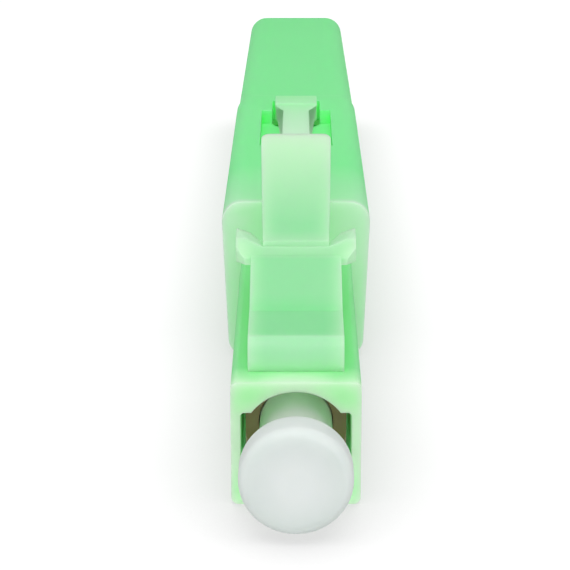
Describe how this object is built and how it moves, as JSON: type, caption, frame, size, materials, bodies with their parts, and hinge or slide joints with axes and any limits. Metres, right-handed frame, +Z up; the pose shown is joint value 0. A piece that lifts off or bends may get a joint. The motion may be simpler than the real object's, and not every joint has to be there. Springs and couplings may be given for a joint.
{
  "type": "lc fibre connector",
  "caption": "Field-fitted fibre connector with a square latched nose, an angled ferrule under a dust cap, a splice body and a tail boot.",
  "frame": {"origin": "bottom centre of the bounding box, on the surface that the connector lies on", "axes": "+Y runs back along the ferrule's axis from the nose to the tail, +Z is up on the latch side, +X is to the side"},
  "size_m": [0.006, 0.0604, 0.0097],
  "materials": {
    "green_plastic": "translucent satin moulding",
    "cap_plastic": "translucent white",
    "zirconia": "polished",
    "fibre_glass": "clear",
    "brown_plastic": "satin",
    "spring_steel": "drawn wire and rolled strip",
    "pale_plastic": "satin",
    "dark_plastic": "satin"
  },
  "bodies": {
    "connector": {"plug_housing": "green_plastic", "spring_stop": "pale_plastic", "ferrule_spring": "spring_steel", "rear_body": "green_plastic", "clamp_base": "pale_plastic", "clamp_lid": "pale_plastic"},
    "ferrule_unit": {"ferrule": "zirconia", "fibre_stub": "fibre_glass", "ferrule_holder": "brown_plastic", "splice_base": "dark_plastic", "splice_cover_front": "dark_plastic", "splice_cover_middle": "dark_plastic", "splice_cover_rear": "dark_plastic", "splice_clip_front": "spring_steel", "splice_clip_middle": "spring_steel", "splice_clip_rear": "spring_steel", "fibre_guide": "pale_plastic"},
    "cap": {"dust_cap": "cap_plastic"},
    "latch": {"latch_arm": "green_plastic"},
    "tongue": {"press_tongue": "green_plastic"},
    "boot": {"tail_boot": "green_plastic"}
  },
  "joints": [
    {"name": "latch_flex", "type": "hinge", "parent": "connector", "child": "latch", "pos_m": [0, -0.0238, 0.00525], "axis": [-1, 0, 0], "range_deg": [0, 8], "stiffness_Nm_per_rad": 0.05},
    {"name": "tongue_flex", "type": "hinge", "parent": "connector", "child": "tongue", "pos_m": [0, -0.00235, 0.0061], "axis": [-1, 0, 0], "range_deg": [0, 4], "stiffness_Nm_per_rad": 0.02},
    {"name": "ferrule_float", "type": "slide", "parent": "connector", "child": "ferrule_unit", "axis": [0, 1, 0], "range_m": [0, 0.001], "stiffness_N_per_m": 1000, "deforming": ["ferrule_spring"]},
    {"name": "cap_pull", "type": "slide", "parent": "ferrule_unit", "child": "cap", "axis": [0, -1, 0], "range_m": [0, 0.009]},
    {"name": "boot_pull", "type": "slide", "parent": "connector", "child": "boot", "axis": [0, 1, 0], "range_m": [0, 0.018]}
  ]
}
